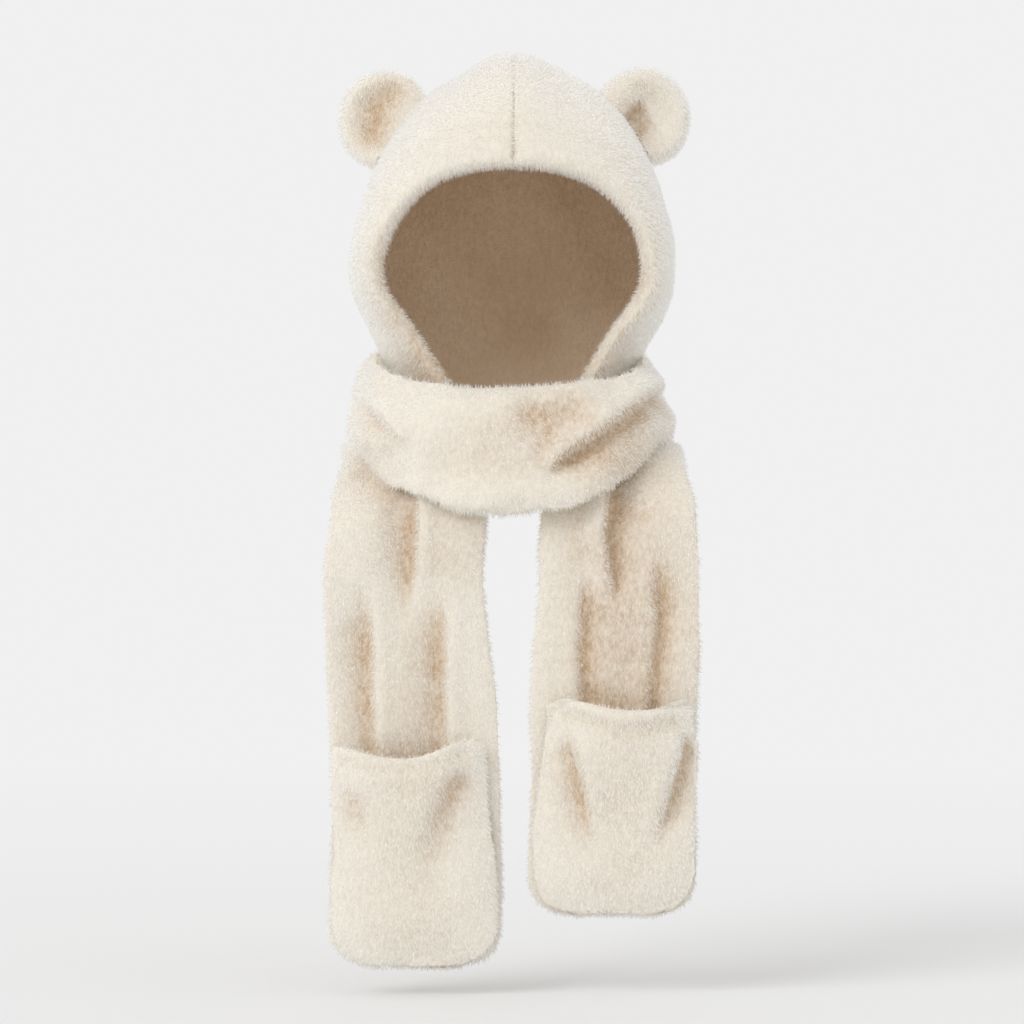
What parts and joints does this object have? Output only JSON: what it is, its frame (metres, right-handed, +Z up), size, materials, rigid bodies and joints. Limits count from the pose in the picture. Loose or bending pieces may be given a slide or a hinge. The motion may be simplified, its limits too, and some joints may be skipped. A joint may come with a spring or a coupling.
{
  "type": "animal hood scarf",
  "caption": "Plush bear-eared hood with a lined, padded shell, a scarf looped round the neck, and hanging tails that end in patch pockets.",
  "frame": {"origin": "crown seat: the highest point inside the lining, where the top of a head rests", "axes": "+Z up, the face opening and the tails towards -Y, +X to the right as seen from the front"},
  "size_m": [0.2795, 0.2793, 0.6969],
  "materials": {
    "plush": "short cream faux fur pile with a warm tan undercoat",
    "lining": "short beige plush, soft and matt"
  },
  "bodies": {
    "root": {"hood_panel_left": "plush", "hood_panel_right": "plush", "hood_lining": "lining", "ear_left": "plush", "ear_right": "plush", "neck_wrap": "plush", "tail_left": "plush", "tail_right": "plush", "pocket_left": "plush", "pocket_right": "plush"}
  },
  "joints": []
}
